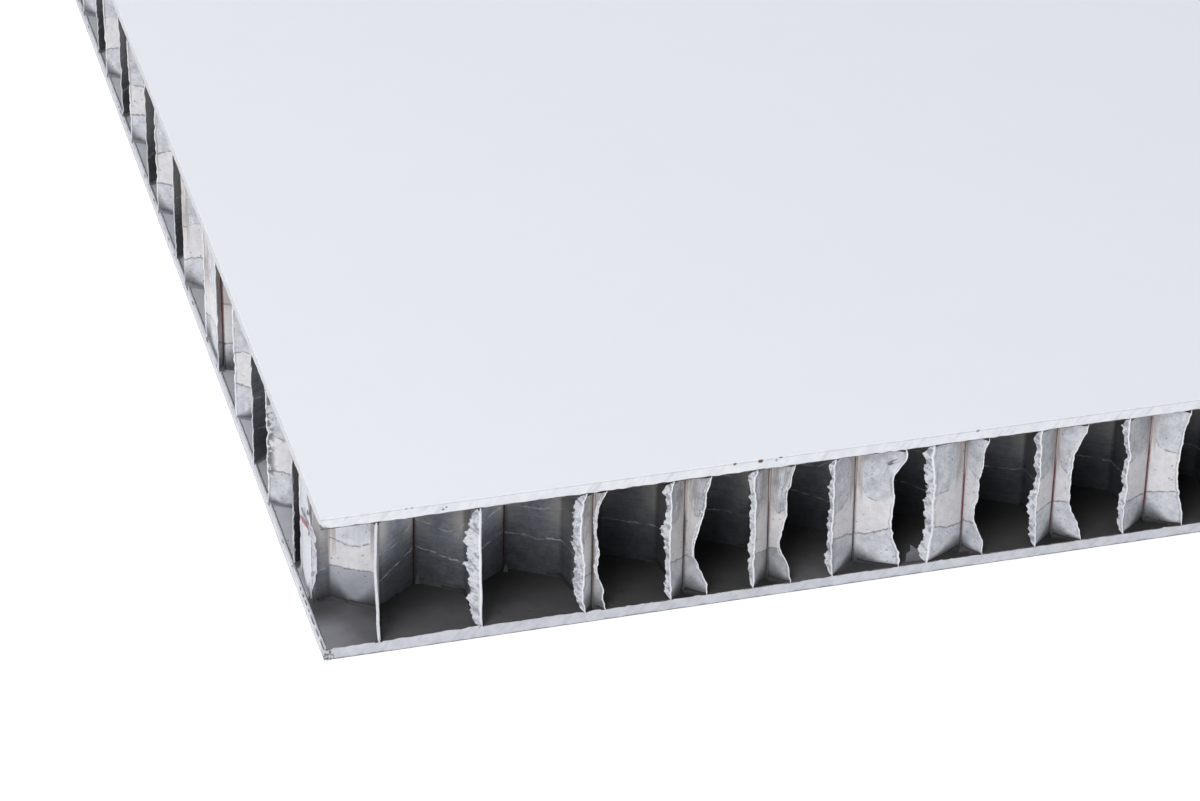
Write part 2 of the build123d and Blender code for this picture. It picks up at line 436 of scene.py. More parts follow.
@dataclasses.dataclass
class Run:
    """One length of a ribbon from cut to cut, as a bent surface with a place for every (q, z).

    q is the distance along the foil from its first cut. Below 0 and past the length lie the
    flaps that the saw smeared along the cut.
    """

    ribbon: int
    line: np.ndarray
    along: np.ndarray
    bends: np.ndarray
    first: float
    length: float
    seed: int

    def __post_init__(self):
        # The column whose front node this ribbon belongs to, and whether it is that node's left foil
        self.front_column = self.ribbon if self.ribbon % 2 else self.ribbon + 1
        self.is_left_foil = self.front_column > self.ribbon
        ends = self.plan(np.array([0.0, self.length]))
        self.tears = [self.tear_for(end, number) for number, end in enumerate(ends)]

    def plan(self, q):
        s = self.first + np.clip(q, 0, self.length)
        return np.stack([np.interp(s, self.along, self.line[:, k]) for k in (0, 1)], -1)

    def tear_for(self, end, number):
        cut = cut_at(end)
        seed = 7 * self.seed + 3 * number + 11
        rng = np.random.default_rng(seed)

        def uneven(low, high):
            return rng.uniform(low, high, MEASURED_HEIGHTS)

        if cut.name == "front":
            column = self.front_column
            if self.is_left_foil and column in BURR_WIDTHS:
                return Tear(cut, seed, BURR_WIDTHS[column], teeth=0.12 if column == 1 else 0.5)
            if column in RIGHT_FOIL_EDGES:
                return Tear(cut, seed, uneven(0.2, 0.45))
            if column in LEFT_FOIL_EDGES:
                return Tear(cut, seed, np.full(MEASURED_HEIGHTS, 0.07), smear=(1, 0), teeth=0.2)
            return Tear(cut, seed, uneven(0.2, 0.9) if self.is_left_foil else uneven(0.1, 0.4))
        if self.ribbon == FIRST_RIBBON and number == 0 and 7 < end[1] < 8:
            widths, back = LOOSE_FLAP.clip(0.05, None), -LOOSE_FLAP.clip(None, 0)
            return Tear(cut, seed, widths, (0.6, -0.8), rag=0.25, teeth=0.3, back=back)
        if cut.name == "left":
            widths = uneven(0.2, 0.5) if 2 < end[1] < 14 else uneven(0.05, 0.3)
            return Tear(cut, seed, widths, rag=0.35, teeth=0.7)
        return Tear(cut, seed, uneven(0.1, 0.6), rag=0.15)

    def front_shift(self, plan, z):
        """Moves the foil ends at the front cut to where the photo has them."""
        column = self.front_column
        y = plan[..., 1]
        if column not in LEFT_FOIL_EDGES:
            return np.zeros_like(y)
        edges = LEFT_FOIL_EDGES
        if column in RIGHT_FOIL_EDGES:
            edges = LEFT_FOIL_EDGES if self.is_left_foil else RIGHT_FOIL_EDGES
            start, _ = node_ends(column, 0)
            share = np.clip((start.y - y) / max(start.y, 0.1), 0, 1)
            beside = 0.07 * wander(z, 0.45, self.seed + 9)
        else:
            share = np.exp(-np.maximum(y, 0) / 1.6)
            beside = -BESIDE_NODE if self.is_left_foil else BESIDE_NODE
        cut_x = np.interp(0, self.line[:, 1], self.line[:, 0])
        target = beside + edge_x(edges, column, z)
        return (target - cut_x) * share + front_lean(column, y, z) * (1 - share)

    def at(self, q, z):
        """Where the middle of the foil lies."""
        q, z = np.broadcast_arrays(np.asarray(q, float), np.asarray(z, float))
        inside = np.clip(q, 0, self.length)
        back = 0
        for tear, from_end, way in zip(self.tears, (q, self.length - q), (1, -1)):
            if tear.rag:
                back = back + way * tear.set_back(z) * np.exp(-np.maximum(from_end, 0) / 0.9)
        plan = self.plan(np.clip(inside + back, 0, self.length))
        ahead = self.plan(inside + 0.05) - self.plan(inside - 0.05)
        size = np.maximum(np.hypot(ahead[..., 0], ahead[..., 1]), 1e-9)
        across = np.stack([ahead[..., 1], -ahead[..., 0]], -1) / size[..., None]
        buckle = 0.05 * crumple(self.first + inside, z, 3.2, self.seed + 5) * inside_core(z, 1.5, 1.5)
        buckle = buckle * np.clip(self.bend_distance(inside) / 0.8, 0, 1)
        point = plan + across * buckle[..., None]
        point[..., 0] += self.front_shift(plan, z)
        raised = 0
        for number, (tear, past) in enumerate(zip(self.tears, (-q, q - self.length))):
            share = np.clip(past / FLAP_SPAN, 0, 1)
            width = tear.width(z)
            reach = share * width
            lift = (0.03 + 0.24 * self.ridges(reach, z, number)) * np.clip(share * 4, 0, 1)
            point = point + tear.flap(reach, lift * np.clip(width / 0.3, 0.2, 1))
            raised = raised + 0.45 * reach
        height = z + raised * inside_core(z, 0.5, 0.9)
        return np.concatenate([point, height[..., None]], -1)

    def ridges(self, reach, z, number):
        """The slanted crumples of a flap: 1 on their crests, 0 in the grooves between."""
        across = z - 0.95 * reach + 40 * number
        along = z + reach
        broad = np.abs(crumple(across, 0.3 * along, 0.34, self.seed + 6))
        fine = np.abs(crumple(across, 0.4 * along, 0.17, self.seed + 7))
        return 1 - np.clip(0.75 * broad + 0.45 * fine, 0, 1)

    def bend_distance(self, q):
        s = self.first + np.asarray(q, float)
        return np.min(np.abs(s[..., None] - self.bends), -1)

    def normal(self, q, z):
        along = self.at(q + 0.03, z) - self.at(q - 0.03, z)
        up = self.at(q, z + 0.03) - self.at(q, z - 0.03)
        across = np.cross(along, up)
        return across / np.maximum(np.linalg.norm(across, axis=-1), 1e-9)[..., None]

    def stations(self):
        """Where the columns of vertices stand along the foil, close together near the cuts."""
        flap = np.linspace(-FLAP_SPAN, 0, 8)[:-1]
        near = np.concatenate([[0, 0.04, 0.12, 0.25], np.arange(0.45, NEAR_CUT, 0.25)])
        sight = np.arange(NEAR_CUT, WITHIN_SIGHT, 0.4)
        from_start = np.concatenate([flap, near, sight])
        from_end = self.length - from_start
        line = self.along - self.first
        line = line[(line > 0.3) & (line < self.length - 0.3)]
        half = self.length / 2
        kept = np.concatenate([from_start[from_start < half], from_end[from_end > half], line])
        kept = np.unique(np.round(kept, 3))
        spaced = [kept[0]]
        for q in kept[1:]:
            if q - spaced[-1] > 0.035:
                spaced.append(q)
        spaced[-1] = self.length + FLAP_SPAN
        return np.array(spaced)

    def heights_at(self, q):
        """The heights of one column's vertices: fewer further from the cuts, and always shared."""
        from_cut = min(max(q, 0), max(self.length - q, 0))
        at_front = q < self.length / 2 and self.tears[0].cut.name == "front"
        count = ROWS_IN_PHOTO if at_front and self.ribbon in RIBBONS_IN_PHOTO else ROWS_OUT_OF_PHOTO
        if from_cut > WITHIN_SIGHT:
            count = ROWS_OUT_OF_SIGHT
        elif from_cut > NEAR_CUT:
            count //= 2
        elif from_cut < 0.02:
            count *= 2
        return np.linspace(CORE_BOTTOM, CORE_TOP, count + 1)


def strip(lower, upper, z_lower, z_upper):
    """Faces between two columns of vertices that may have different heights."""
    if len(lower) == len(upper):
        return [(lower[k], upper[k], upper[k + 1], lower[k + 1]) for k in range(len(lower) - 1)]
    faces = []
    i = j = 0
    while i < len(lower) - 1 or j < len(upper) - 1:
        next_i = z_lower[i + 1] if i < len(lower) - 1 else math.inf
        next_j = z_upper[j + 1] if j < len(upper) - 1 else math.inf
        if next_i <= next_j:
            faces.append((lower[i], upper[j], lower[i + 1]))
            i += 1
        else:
            faces.append((lower[i], upper[j], upper[j + 1]))
            j += 1
    return faces


class Mesh:
    """Vertices, faces and per-vertex values, gathered until the piece is made."""

    def __init__(self):
        self.points = []
        self.faces = []
        self.values = {}
        self.count = 0

    def add(self, points, **values):
        """Adds vertices, kept from standing proud of the saw cuts or of the two faces."""
        points = np.clip(np.asarray(points, float).reshape(-1, 3), 0, PANEL_CORNER)
        first = self.count
        self.points.append(points)
        self.count += len(points)
        for name, value in values.items():
            value = np.asarray(value, float)
            value = np.full(len(points), value) if value.ndim == 0 else value.reshape(-1)
            self.values.setdefault(name, []).append(value)
        return list(range(first, self.count))

    def join(self, rings, turn=1):
        """Bands of faces from each ring to the next. A turn of -1 makes them face the other way."""
        for lower, upper in zip(rings, rings[1:]):
            for k in range(len(lower)):
                after = (k + 1) % len(lower)
                self.faces.append((lower[k], lower[after], upper[after], upper[k])[::turn])

    def loft(self, rings, turn=1):
        """A solid through rings of vertices, closed by its first and last ring."""
        self.join(rings, turn)
        self.faces += [tuple(rings[0])[::-turn], tuple(rings[-1])[::turn]]

    def shell(self, left, right, heights):
        """A closed upright wall. Each side is a row of upright columns of vertices."""
        for k in range(len(left) - 1):
            self.faces += strip(left[k], left[k + 1], heights[k], heights[k + 1])
            self.faces += [face[::-1] for face in strip(right[k], right[k + 1], heights[k], heights[k + 1])]
            for row, turn in ((0, 1), (-1, -1)):
                edge = (left[k][row], right[k][row], right[k + 1][row], left[k + 1][row])
                self.faces.append(edge[::turn])
        for k, turn in ((0, 1), (-1, -1)):
            front, back = left[k], right[k]
            for row in range(len(front) - 1):
                self.faces.append((front[row], front[row + 1], back[row + 1], back[row])[::turn])

    def leaf(self, outline, bulge, thickness=0.05, **values):
        """A torn scrap: a thin closed leaf with a raised middle. outline holds (X, Y, Z)."""
        outline = np.array(outline, float)
        across = np.cross(outline[1] - outline[0], outline[-1] - outline[0])
        across = across / max(np.linalg.norm(across), 1e-9)
        rims = []
        for side in (1, -1):
            rim = self.add(outline + across * side * thickness / 2, **values)
            peak, = self.add(outline.mean(0) + across * (bulge + side * thickness / 2), **values)
            rims.append(rim)
            for k, corner in enumerate(rim):
                self.faces.append((corner, rim[(k + 1) % len(rim)], peak)[::side])
        self.join(rims[::-1])

    def make(self, name, material, slot, *nodes, smooth_below=40):
        mesh = bpy.data.meshes.new(name)
        points = (np.concatenate(self.points) - ORIGIN) * METRES_PER_MM
        mesh.from_pydata(points.tolist(), [], self.faces)
        for value_name, parts in self.values.items():
            attribute = mesh.attributes.new(value_name, "FLOAT", "POINT")
            attribute.data.foreach_set("value", np.concatenate(parts).astype(np.float32))
        mesh.polygons.foreach_set("use_smooth", [True] * len(mesh.polygons))
        mesh.set_sharp_from_angle(angle=math.radians(smooth_below))
        mesh.materials.append(material)
        piece = bpy.data.objects.new(name, mesh)
        bpy.context.scene.collection.objects.link(piece)
        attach(piece, ROOT)
        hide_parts(*nodes)
        return piece


def depth_of(x, y):
    """The distance inwards from the nearest cut, which is below 0 outside the panel."""
    return np.minimum(np.minimum(x, PANEL_WIDTH - x), np.minimum(y, PANEL_LENGTH - y))


def daylight(ribbon, points, facing):
    """How much painted light a place on the foil gets, against the painted shade deeper in: full near the
    front and back cuts, at the corner, along a glue line at the left cut and on walls that face out of the
    left and right cuts.
    """
    x, y = points[..., 0], points[..., 1]
    ends = falling(np.minimum(y, PANEL_LENGTH - y), 2.4, 4.4)
    glue_line_seen = falling(x, 1.2, 2.2) * hump(y - 48.0, 3)
    left = np.maximum(falling(x, 1.6, 3.2) * facing, glue_line_seen)
    right = falling(PANEL_WIDTH - x, 1.6, 3.2) * (1 - facing)
    corner = falling(np.hypot(x - 2.5, y - 5.5), 4.0, 6.0) * (0.4 + 0.6 * facing) * (ribbon <= 0)
    return np.maximum(np.maximum(ends, corner), np.maximum(left, right))


def adhesive_edges(run, s, bend, points):
    """The heights of the lower and upper edge of the bare band on the foil."""
    low = 4.3 + 0.6 * (1 - np.exp(-bend / 1.3)) + 0.22 * wander(s, 2.2, run.seed + 20)
    top = 8.4 + 0.4 * wander(s, 1.6, run.seed + 21)
    x, y = points[..., 0], points[..., 1]
    if run.ribbon in ADHESIVE_EDGES:
        places, lows, tops = np.array(ADHESIVE_EDGES[run.ribbon]).T
        uneven = 0.1 * wander(s, 0.8, run.seed + 22)
        share = falling(y, 9.0, 10.5) if run.ribbon >= 0 else falling(y, 13.2, 13.4)
        low = low * (1 - share) + (np.interp(x, places, lows) + uneven) * share
        top = top * (1 - share) + (np.interp(x, places, tops) + uneven) * share
    crown = np.where(falling(y, 3.0, 4.0) > 0, 2.2 * hump(bend, 0.5), 0)
    return low, top + crown


def foot_shadow(x, bend):
    """How high the dark stands at the foil's foot: highest at bends, less from column 11 to 13."""
    narrow = np.interp(x, (45, 47, 64, 66), (0, 1, 1, 0))
    return 0.4 + (2.6 - 0.9 * narrow) * hump(bend, 1.4 - 0.2 * narrow)


def add_run(mesh, run):
    """Adds one length of foil as a closed shell."""
    stations = run.stations()
    heights = [run.heights_at(q) for q in stations]
    sides = ([None] * len(stations), [None] * len(stations))
    tear, far_tear = run.tears
    for count in sorted({len(z) for z in heights}):
        chosen = [k for k, z in enumerate(heights) if len(z) == count]
        z = np.stack([heights[k] for k in chosen])
        q = np.repeat(stations[chosen][:, None], count, 1)
        held = np.clip(q, 0, run.length)
        past = np.maximum(-q, q - run.length).clip(0) / FLAP_SPAN
        middle = run.at(q, z)
        normal = run.normal(q, z)
        across = normal * (FOIL_THICKNESS / 2 * (1 - 0.5 * past))[..., None]
        bend = run.bend_distance(held)
        low_line, top_line = adhesive_edges(run, run.first + held, bend, middle)
        reach = past * np.where(q < 0, tear.width(z), far_tear.width(z))
        in_first_half = q < run.length / 2
        # How high each place of a flap stands on its crumples; the material paints light on the crests and
        # shade in the grooves, and narrow flaps lighter
        crest = np.where(in_first_half, run.ridges(reach, z, 0), run.ridges(reach, z, 1))
        crest = crest + 0.45 * (np.where(in_first_half, max(tear.widths), max(far_tear.widths)) < 0.5)
        for side, columns in zip((1, -1), sides):
            points = middle + side * across
            points = np.clip(points, (0, 0, CORE_BOTTOM), (PANEL_WIDTH, PANEL_LENGTH, CORE_TOP))
            x, y = points[..., 0], points[..., 1]
            facing = np.clip(0.5 - 2.5 * side * normal[..., 0], 0, 1)
            indices = mesh.add(
                points,
                lit=daylight(run.ribbon, points, facing),
                facing=facing,
                low_edge=z - low_line,
                top_edge=top_line - z,
                foot=(z - CORE_BOTTOM) / foot_shadow(middle[..., 0], bend),
                bend=bend,
                crest=crest,
                # Painted shade in the dim channel behind the corner's loose flap
                channel=falling(x, 2.0, 2.5) * falling(y, 8.6, 9.4) * (run.ribbon == 0),
                from_end=np.minimum(held, run.length - held),
                flap=past,
            )
            for row, k in enumerate(chosen):
                columns[k] = indices[row * count:(row + 1) * count]
    mesh.shell(*sides, heights)


def runs_of(ribbon):
    """The lengths of one ribbon that the four cuts leave."""
    line, along, bends = rounded(ribbon_corners(ribbon))
    s = np.arange(0, along[-1], 0.02)
    x, y = (np.interp(s, along, line[:, k]) for k in (0, 1))
    inside = depth_of(x, y) >= 0
    for torn_ribbon, from_y, to_y in TORN_AWAY:
        if torn_ribbon == ribbon:
            inside &= (x > 2) | (y < from_y) | (y > to_y)
    changes = np.flatnonzero(np.diff(inside.astype(int)))
    starts = [s[k + 1] for k in changes if not inside[k]]
    ends = [s[k] for k in changes if inside[k]]
    return [
        Run(ribbon, line, along, bends, first, last - first, seed=100 * (ribbon + 2) + number)
        for number, (first, last) in enumerate(zip(starts, ends))
        if last - first > SHORTEST_RUN
    ]


class Nodes:
    """A node tree being put together."""

    def __init__(self, owner):
        owner.use_nodes = True
        self.tree = owner.node_tree

    def put(self, value, socket):
        """Links a node's output to a socket, or gives the socket a plain value."""
        if isinstance(value, bpy.types.NodeSocket):
            self.tree.links.new(value, socket)
        else:
            socket.default_value = (*value, 1) if socket.type == "RGBA" else value

    def node(self, kind, inputs=None, **settings):
        made = self.tree.nodes.new("ShaderNode" + kind)
        for key, value in settings.items():
            setattr(made, key, value)
        for key, value in (inputs or {}).items():
            self.put(value, made.inputs[key])
        return made

    def math(self, operation, a, b=0.0):
        return self.node("Math", {0: a, 1: b}, operation=operation).outputs[0]

    def product(self, *values):
        return functools.reduce(lambda a, b: self.math("MULTIPLY", a, b), values)

    def seen(self):
        """1 for the camera, mirrors and glass, and 0 for the light that falls on the piece."""
        path = self.node("LightPath").outputs
        either = self.math("MAXIMUM", path["Is Camera Ray"], path["Is Glossy Ray"])
        return self.math("MAXIMUM", either, path["Is Transmission Ray"])


class Shader(Nodes):
    """A node material being put together."""

    def __init__(self, name):
        self.material = bpy.data.materials.new(name)
        super().__init__(self.material)
        self.shader = self.tree.nodes["Principled BSDF"]

    @functools.cached_property
    def coordinates(self):
        return self.node("TexCoord").outputs["Object"]

    @functools.cached_property
    def place(self):
        return self.node("SeparateXYZ", {"Vector": self.coordinates}).outputs

    def vector(self, **parts):
        return self.node("CombineXYZ", parts).outputs[0]

    def normal(self, kind="Normal"):
        return self.node("SeparateXYZ", {"Vector": self.node("NewGeometry").outputs[kind]}).outputs

    def attribute(self, name):
        return self.node("Attribute", attribute_name=name).outputs["Fac"]

    def ramp(self, value, low, high, low_to=0.0, high_to=1.0):
        """value between low and high, turned smoothly into low_to to high_to."""
        inputs = {"Value": value, "From Min": low, "From Max": high, "To Min": low_to, "To Max": high_to}
        return self.node("MapRange", inputs, interpolation_type="SMOOTHSTEP").outputs["Result"]

    def along(self, axis, low, high, low_to=0.0, high_to=1.0):
        """A ramp between two places on an axis, in millimetres from the corner."""
        low, high = ((at - ORIGIN["XYZ".index(axis)]) * METRES_PER_MM for at in (low, high))
        return self.ramp(self.place[axis], low, high, low_to, high_to)

    def zone(self, **spans):
        """1 in one part of the panel. Its borders are pairs of places, from 0 to 1, on some axes."""
        ramps = [self.along(axis, *at[k:k + 2]) for axis, at in spans.items() for k in range(0, len(at), 2)]
        return self.product(*ramps)

    def stripe(self, value, outer, inner):
        """1 where value is within inner of 0, and 0 past outer."""
        return self.ramp(self.math("ABSOLUTE", value), outer, inner)

    def noise(self, scale_mm, detail=2.0, roughness=0.5, vector=None, stretch=None):
        """Noise whose grains are scale_mm across, drawn out along a turned Z by stretch."""
        vector = vector or self.coordinates
        if stretch:
            turn, length = stretch
            turned = {"Rotation": (0.0, math.radians(turn), 0.0), "Scale": (1.0, 1.0, length)}
            vector = self.node("Mapping", {"Vector": vector, **turned}, vector_type="TEXTURE").outputs[0]
        inputs = {"Vector": vector, "Scale": 1 / (scale_mm * METRES_PER_MM)}
        return self.node("TexNoise", {**inputs, "Detail": detail, "Roughness": roughness}).outputs["Fac"]

    def specks(self, spacing_mm, radius, share):
        """1 on small round specks, 0 elsewhere."""
        inputs = {"Vector": self.coordinates, "Scale": 1 / (spacing_mm * METRES_PER_MM)}
        cells = self.node("TexVoronoi", inputs).outputs
        chance = self.node("SeparateColor", {"Color": cells["Color"]}).outputs[0]
        near = self.ramp(cells["Distance"], radius, radius * 0.6)
        return self.product(near, self.math("LESS_THAN", chance, share))

    def mix(self, share, a, b):
        return self.node("Mix", {"Factor": share, 6: a, 7: b}, data_type="RGBA").outputs[2]

    def paint(self, color, over, *shares):
        """The colour with another one over it, as far as the product of the shares."""
        return self.mix(self.product(*shares), color, over)

    def shade(self, color, by):
        """The colour multiplied by a value."""
        return self.node("VectorMath", {0: color, "Scale": by}, operation="SCALE").outputs[0]

    def dim(self, color, factor, *shares):
        """The colour multiplied by factor where the product of the shares is 1."""
        return self.shade(color, self.ramp(self.product(*shares), 0.0, 1.0, 1.0, factor))

    def bump(self, height, strength, distance_mm):
        inputs = {"Height": height, "Strength": strength, "Distance": distance_mm * METRES_PER_MM}
        self.put(self.node("Bump", inputs).outputs[0], self.shader.inputs["Normal"])

    def finish(self, color, roughness, metallic=0.0, specular=0.5):
        inputs = self.shader.inputs
        self.put(color, inputs["Base Color"])
        self.put(roughness, inputs["Roughness"])
        self.put(metallic, inputs["Metallic"])
        self.put(specular, inputs["Specular IOR Level"])
        return self.material


def foil_material():
    """Aluminium foil: bare in a band at mid height, greyed by adhesive above and below it."""
    s = Shader("torn_foil")
    blotch = s.ramp(s.noise(0.9, detail=4, roughness=0.6), 0.3, 0.7)
    fine = s.ramp(s.noise(0.28, detail=3), 0.3, 0.7)
    mottle = s.math("ADD", s.product(blotch, 0.65), s.product(fine, 0.35))
    bend, facing, from_end = (s.attribute(name) for name in ("bend", "facing", "from_end"))
    uneven = s.product(s.math("SUBTRACT", s.noise(0.35), 0.5), 0.4)
    low_edge, top_edge = (s.math("ADD", s.attribute(name), uneven) for name in ("low_edge", "top_edge"))
    below, above = (s.ramp(edge, 0.1, -0.3) for edge in (low_edge, top_edge))
    broken = s.ramp(s.noise(0.8), 0.35, 0.6)
    faces_right = s.ramp(s.normal()["X"], 0.1, 0.4)

    # The pale foil near the cuts, duller and darker in the pockets that lie nearest the corner
    bare = s.mix(mottle, (0.57, 0.555, 0.57), (0.70, 0.685, 0.705))
    wetted = s.mix(mottle, (0.42, 0.43, 0.47), (0.66, 0.67, 0.72))
    darker_pockets = s.zone(X=(57, 25, 15, 19))
    bare = s.paint(bare, (0.45, 0.42, 0.40), darker_pockets, 0.3)
    wetted = s.paint(wetted, (0.30, 0.30, 0.32), darker_pockets, 0.25)
    at_corner = s.zone(X=(9, 7.5), Y=(12.5, 10.5))
    wetted = s.paint(wetted, (0.30, 0.31, 0.355), at_corner, below, 0.75)
    wetted = s.paint(wetted, (0.74, 0.75, 0.80), at_corner, above, 0.5)
    color = s.paint(wetted, bare, s.ramp(low_edge, -0.06, 0.06), s.ramp(top_edge, -0.12, 0.12))
    color = s.dim(color, 0.8, darker_pockets)
    # Upright stripes of stain beside the bends, then drips and smudges from the upper adhesive
    upright = s.vector(X=s.product(bend, 0.004), Z=s.product(s.place["Z"], 0.15))
    stained = s.mix(s.ramp(s.noise(0.9, vector=upright), 0.35, 0.65), (0.40, 0.35, 0.34), (0.68, 0.62, 0.60))
    beside = s.product(s.ramp(bend, 0.7, 0.5), s.ramp(low_edge, 0.0, 1.0), s.ramp(top_edge, 2.5, 0.5))
    color = s.paint(color, stained, beside, 0.8)
    stains = s.zone(X=(51, 41, 15, 19))
    drips = s.product(s.ramp(s.noise(0.5, vector=upright), 0.42, 0.6), s.ramp(top_edge, 1.0, -0.6))
    color = s.paint(color, (0.21, 0.20, 0.20), drips, s.ramp(stains, 0.0, 1.0, 0.12, 0.7))
    smudges = s.product(s.ramp(s.noise(1.1, detail=3), 0.45, 0.7), s.ramp(top_edge, 0.5, -1.5))
    color = s.paint(color, (0.20, 0.20, 0.22), smudges, s.ramp(stains, 0.0, 1.0, 0.35, 0.8))
    # Scuffs on the corner's edge of foil, and a dark clawed panel farther back at the left cut
    scuffs = s.mix(s.ramp(s.noise(0.13, detail=3), 0.35, 0.65), (0.44, 0.45, 0.49), (0.66, 0.67, 0.72))
    color = s.paint(color, scuffs, s.zone(X=(1.5, 0.8), Y=(11.8, 10.5)), 0.8)
    clawed = s.zone(X=(2.5, 1.8), Y=(20.5, 21.5, 25.5, 24.5), Z=(3.5, 5.0))
    claws = s.ramp(s.noise(0.55, detail=3, roughness=0.6), 0.46, 0.54)
    color = s.paint(color, (0.08, 0.08, 0.09), clawed, s.ramp(from_end, 1.1, 0.3), claws, 0.85)
    # Painted shade by the way the foil faces, the dark lines at the adhesive's edges, specks, and a painted
    # shadow at the foot
    color = s.shade(color, s.ramp(facing, 0.0, 1.0, 0.97, 1.0))
    # Painted shade on right-facing walls from column 15 on, deeper above the bare band
    turned = s.product(faces_right, s.along("X", 63, 67))
    color = s.dim(color, 0.93, turned)
    color = s.dim(color, 0.88, turned, above)
    low_line, top_line = s.stripe(low_edge, 0.13, 0.04), s.stripe(top_edge, 0.12, 0.03)
    lines = s.math("MAXIMUM", s.product(low_line, 0.7), s.product(top_line, broken, 0.75))
    color = s.paint(color, (0.13, 0.13, 0.145), lines)
    specks = s.math("MAXIMUM", s.specks(0.9, 0.13, 0.6), s.specks(0.45, 0.2, 0.35))
    color = s.paint(color, (0.12, 0.12, 0.13), specks, 0.7)
    # Painted shade in the channel behind the corner's loose flap
    color = s.dim(color, 0.8, s.attribute("channel"))
    color = s.shade(color, s.ramp(s.attribute("foot"), 0.1, 1.1, 0.18, 1.0))
    by_column_9 = s.zone(X=(36, 37.5, 48.5, 47))
    color = s.dim(color, 0.66, by_column_9, below)

    # Painted shade: the dark slate-grey colour of the foil deep in the cells, streaked along the ribbon
    slate = s.mix(mottle, (0.115, 0.124, 0.142), (0.19, 0.203, 0.23))
    level = s.vector(X=s.product(bend, 0.0001), Z=s.place["Z"])
    streaks = s.ramp(s.noise(0.22, detail=3, roughness=0.7, vector=level), 0.3, 0.7)
    slate = s.shade(slate, s.ramp(streaks, 0.0, 1.0, 0.86, 1.14))
    # Painted light towards the top of the cells, a painted warm highlight beside the nodes and painted shade
    # in the bends
    slate = s.shade(slate, s.along("Z", 2, 10.5, 0.7, 1.8))
    slate = s.paint(slate, (0.54, 0.51, 0.47), s.ramp(bend, 2.2, 0.2), s.along("Z", 5, 9.5), 0.75)
    slate = s.paint(slate, (0.03, 0.03, 0.034), s.ramp(bend, 0.4, 0.2), 0.12)
    near_edge = s.math("MAXIMUM", s.stripe(low_edge, 0.1, 0.03), s.stripe(top_edge, 0.1, 0.03))
    slate = s.paint(slate, (0.62, 0.63, 0.66), near_edge, broken, 0.8)
    # Painted shade that deepens to the right
    slate = s.shade(slate, s.along("X", 13, 32, 1.0, 0.5))
    slate = s.shade(slate, s.along("X", 35, 41, 1.0, 1.2))
    # Painted light on right-facing walls near the front cut, more towards the top
    slate = s.dim(slate, 2.5, faces_right, s.along("Y", 20, 15), s.along("Z", 4, 11.5, 0.25, 1.0))
    # Painted shadow in a slit near the corner at the left cut
    slit = s.zone(X=(5, 3), Y=(9.5, 10.5, 19, 15))
    slate = s.paint(slate, (0.02, 0.02, 0.022), slit, 0.65)
    # The painted light of the lit attribute chooses between the pale colour and the painted shade
    color = s.mix(s.attribute("lit"), slate, color)

    # The torn edges: a bright rim of cut metal with a painted highlight, a dark seam behind it that is
    # painted shadow, and crumpled, slanted flaps
    seam = s.stripe(s.math("SUBTRACT", from_end, 0.22), 0.08, 0.03)
    color = s.paint(color, (0.16, 0.16, 0.18), seam, s.ramp(s.noise(1.6), 0.35, 0.6), 0.5)
    strokes = s.noise(0.11, roughness=0.6, stretch=(-46, 5.0))
    # Painted light on the flaps' crests, painted shade in their grooves and on flaps that face left
    crest = s.math("ADD", s.attribute("crest"), s.product(s.math("SUBTRACT", strokes, 0.5), 1.1))
    bright = s.mix(s.ramp(crest, 0.22, 0.62), (0.31, 0.32, 0.355), (0.65, 0.66, 0.705))
    bright = s.shade(bright, s.ramp(facing, 0.5, 1.0, 1.0, 0.82))
    color = s.paint(color, (0.86, 0.87, 0.9), s.ramp(from_end, 0.1, 0.05), 0.85)
    color = s.paint(color, bright, s.ramp(s.attribute("flap"), 0.0, 0.1))
    s.bump(s.math("ADD", s.noise(0.25, detail=3), s.product(lines, 0.4)), 0.35, 0.05)
    return s.finish(color, s.ramp(s.noise(0.5), 0.3, 0.7, 0.36, 0.5), metallic=0.3)


